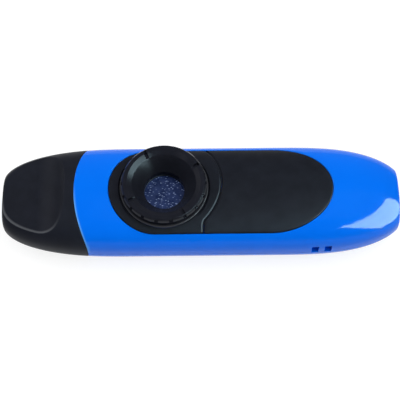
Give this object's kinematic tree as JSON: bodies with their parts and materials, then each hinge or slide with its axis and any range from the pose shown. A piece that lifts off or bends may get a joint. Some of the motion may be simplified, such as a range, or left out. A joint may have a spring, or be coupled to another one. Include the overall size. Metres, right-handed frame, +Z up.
{
  "type": "kazoo",
  "caption": "Plastic kazoo with a screw-down membrane cap, a dished push-on mouthpiece, strap eyes and a lift-off lid over a bay for spare membranes.",
  "frame": {"origin": "middle of the part's box, on the plane of the flat base", "axes": "+X along the body towards the tail, mouth end at -X; +Z up through the cap; the strap eyes are on the -Y side"},
  "size_m": [0.12, 0.0338, 0.0244],
  "materials": {
    "body_blue": "gloss",
    "mouthpiece_black": "soft matte",
    "panel_black": "satin",
    "inner_black": "satin",
    "cap_black": "satin",
    "gasket": "matte",
    "film": "speckled film"
  },
  "bodies": {
    "body": {"upper_shell": "body_blue", "lower_shell": "body_blue", "mouthpiece": "mouthpiece_black", "front_panel": "panel_black", "storage_tray": "inner_black", "spare_membranes": "film", "membrane_seat": "inner_black", "seat_gasket": "gasket", "membrane": "film"},
    "ring": {"pressure_ring": "inner_black"},
    "cap": {"cap": "cap_black"},
    "lid": {"storage_lid": "panel_black"}
  },
  "joints": [
    {"name": "ring_lift", "type": "slide", "parent": "body", "child": "ring", "axis": [0, 0, 1], "range_m": [0, 0.0048]},
    {"name": "cap_turn", "type": "hinge", "parent": "ring", "child": "cap", "pos_m": [-0.0109, 0, 0.0206], "axis": [0, 0, 1], "range_deg": [0, 720]},
    {"name": "lid_lift", "type": "slide", "parent": "body", "child": "lid", "axis": [0, 0, 1], "range_m": [0, 0.014]}
  ],
  "couplings": [
    {"joint": "ring_lift", "follows": "cap_turn", "m_per_rad": 0.00038197}
  ]
}
